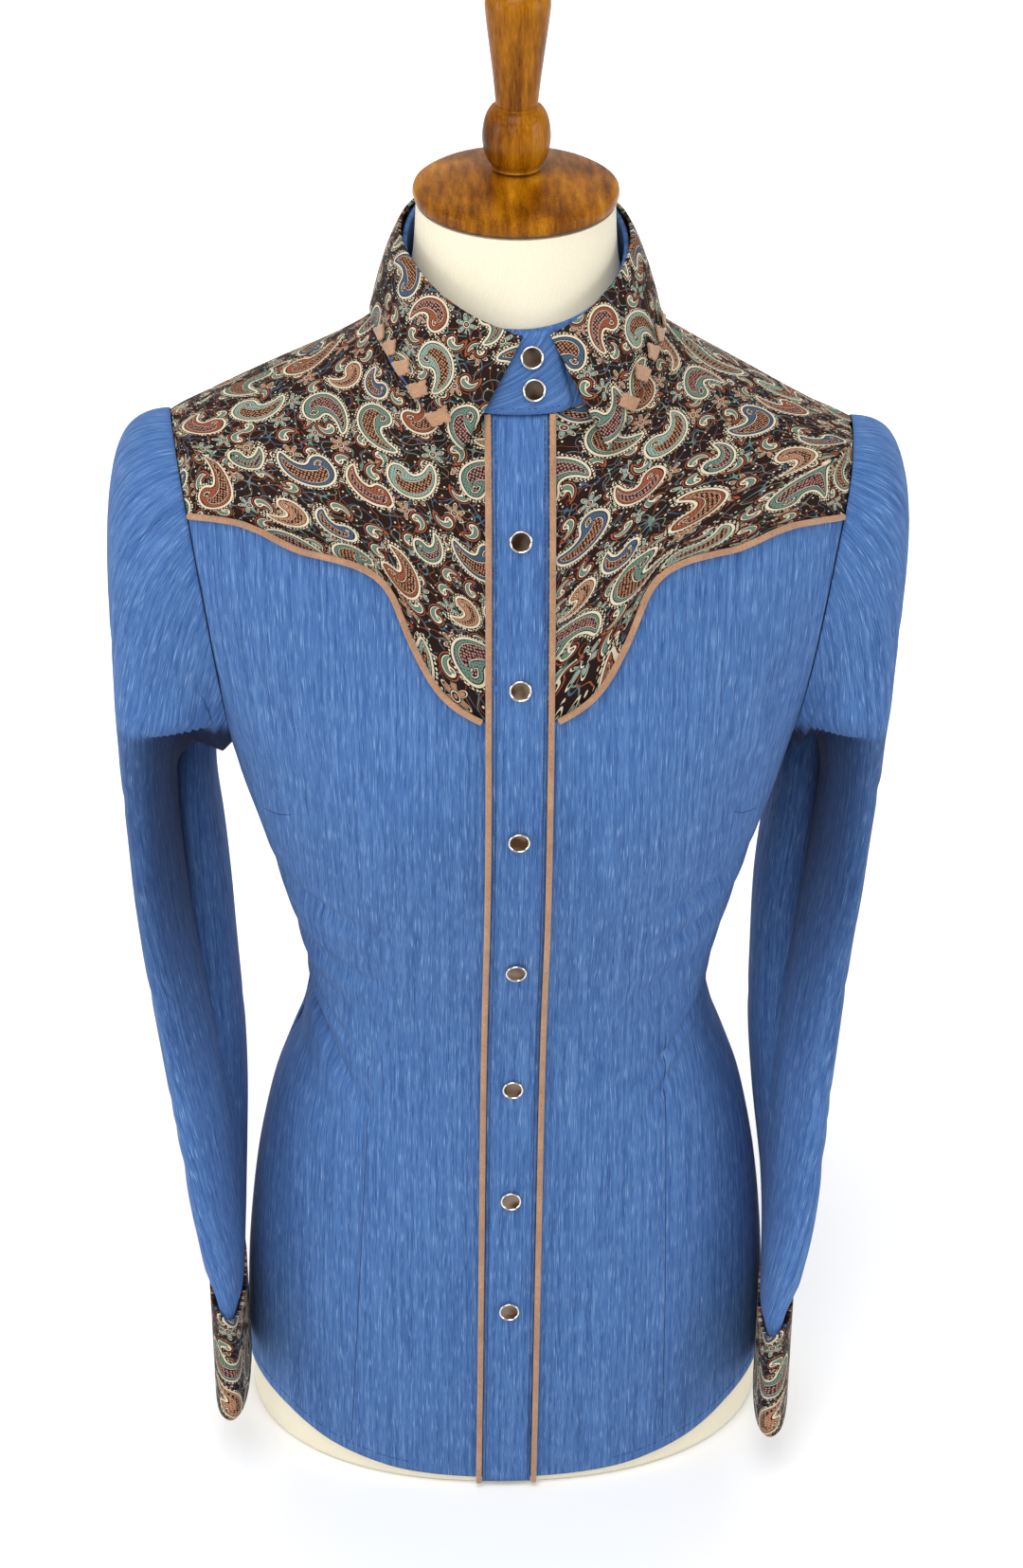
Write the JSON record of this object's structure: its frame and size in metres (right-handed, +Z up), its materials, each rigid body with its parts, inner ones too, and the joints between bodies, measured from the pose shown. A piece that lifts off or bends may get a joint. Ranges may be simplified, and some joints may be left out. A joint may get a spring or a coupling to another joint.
{
  "type": "western snap shirt on dress form",
  "caption": "Western snap shirt in blue chambray with paisley yokes, collar and cuffs and tan suede piping and lacing, on a cream torso dress form with a wooden neck cap and finial",
  "frame": {"origin": "on the floor plane under the middle of the form's flat bottom", "axes": "+Z up along the neck and finial, +X to the wearer's left, -Y out of the shirt's front"},
  "size_m": [0.4283, 0.2306, 0.902],
  "materials": {
    "back_finish": "heathered blue chambray, matt",
    "collar_finish": "dark brown cotton with a printed paisley, matt",
    "collar_stand_finish": "heathered blue chambray, matt",
    "cuff_binding_left_finish": "tan suede-like nap, matt",
    "cuff_binding_right_finish": "tan suede-like nap, matt",
    "cuff_left_finish": "dark brown cotton with a printed paisley, matt",
    "cuff_right_finish": "dark brown cotton with a printed paisley, matt",
    "finial_finish": "stained and waxed wood",
    "form_torso_finish": "cream ribbed jersey, matt",
    "front_left_finish": "heathered blue chambray, matt",
    "front_right_finish": "heathered blue chambray, matt",
    "lacing_left_1_finish": "tan suede-like nap, matt",
    "lacing_left_2_finish": "tan suede-like nap, matt",
    "lacing_left_3_finish": "tan suede-like nap, matt",
    "lacing_left_4_finish": "tan suede-like nap, matt",
    "lacing_left_5_finish": "tan suede-like nap, matt",
    "lacing_right_1_finish": "tan suede-like nap, matt",
    "lacing_right_2_finish": "tan suede-like nap, matt",
    "lacing_right_3_finish": "tan suede-like nap, matt",
    "lacing_right_4_finish": "tan suede-like nap, matt",
    "lacing_right_5_finish": "tan suede-like nap, matt",
    "neck_cap_finish": "stained and waxed wood",
    "placket_finish": "heathered blue chambray, matt",
    "placket_piping_left_finish": "tan suede-like nap, matt",
    "placket_piping_right_finish": "tan suede-like nap, matt",
    "sleeve_left_finish": "heathered blue chambray, matt",
    "sleeve_right_finish": "heathered blue chambray, matt",
    "snap_cuff_left_1_finish": "polished nickel",
    "snap_cuff_left_2_finish": "polished nickel",
    "snap_cuff_right_1_finish": "polished nickel",
    "snap_cuff_right_2_finish": "polished nickel",
    "snap_front_1_finish": "polished nickel",
    "snap_front_2_finish": "polished nickel",
    "snap_front_3_finish": "polished nickel",
    "snap_front_4_finish": "polished nickel",
    "snap_front_5_finish": "polished nickel",
    "snap_front_6_finish": "polished nickel",
    "snap_front_7_finish": "polished nickel",
    "snap_stand_1_finish": "polished nickel",
    "snap_stand_2_finish": "polished nickel",
    "yoke_back_finish": "dark brown cotton with a printed paisley, matt",
    "yoke_front_left_finish": "dark brown cotton with a printed paisley, matt",
    "yoke_front_right_finish": "dark brown cotton with a printed paisley, matt",
    "yoke_piping_back_finish": "tan suede-like nap, matt",
    "yoke_piping_front_left_finish": "tan suede-like nap, matt",
    "yoke_piping_front_right_finish": "tan suede-like nap, matt"
  },
  "bodies": {
    "root": {"back": "back_finish", "collar": "collar_finish", "collar_stand": "collar_stand_finish", "cuff_binding_left": "cuff_binding_left_finish", "cuff_binding_right": "cuff_binding_right_finish", "cuff_left": "cuff_left_finish", "cuff_right": "cuff_right_finish", "finial": "finial_finish", "form_torso": "form_torso_finish", "front_left": "front_left_finish", "front_right": "front_right_finish", "lacing_left_1": "lacing_left_1_finish", "lacing_left_2": "lacing_left_2_finish", "lacing_left_3": "lacing_left_3_finish", "lacing_left_4": "lacing_left_4_finish", "lacing_left_5": "lacing_left_5_finish", "lacing_right_1": "lacing_right_1_finish", "lacing_right_2": "lacing_right_2_finish", "lacing_right_3": "lacing_right_3_finish", "lacing_right_4": "lacing_right_4_finish", "lacing_right_5": "lacing_right_5_finish", "neck_cap": "neck_cap_finish", "placket": "placket_finish", "placket_piping_left": "placket_piping_left_finish", "placket_piping_right": "placket_piping_right_finish", "sleeve_left": "sleeve_left_finish", "sleeve_right": "sleeve_right_finish", "snap_cuff_left_1": "snap_cuff_left_1_finish", "snap_cuff_left_2": "snap_cuff_left_2_finish", "snap_cuff_right_1": "snap_cuff_right_1_finish", "snap_cuff_right_2": "snap_cuff_right_2_finish", "snap_front_1": "snap_front_1_finish", "snap_front_2": "snap_front_2_finish", "snap_front_3": "snap_front_3_finish", "snap_front_4": "snap_front_4_finish", "snap_front_5": "snap_front_5_finish", "snap_front_6": "snap_front_6_finish", "snap_front_7": "snap_front_7_finish", "snap_stand_1": "snap_stand_1_finish", "snap_stand_2": "snap_stand_2_finish", "yoke_back": "yoke_back_finish", "yoke_front_left": "yoke_front_left_finish", "yoke_front_right": "yoke_front_right_finish", "yoke_piping_back": "yoke_piping_back_finish", "yoke_piping_front_left": "yoke_piping_front_left_finish", "yoke_piping_front_right": "yoke_piping_front_right_finish"}
  },
  "joints": []
}
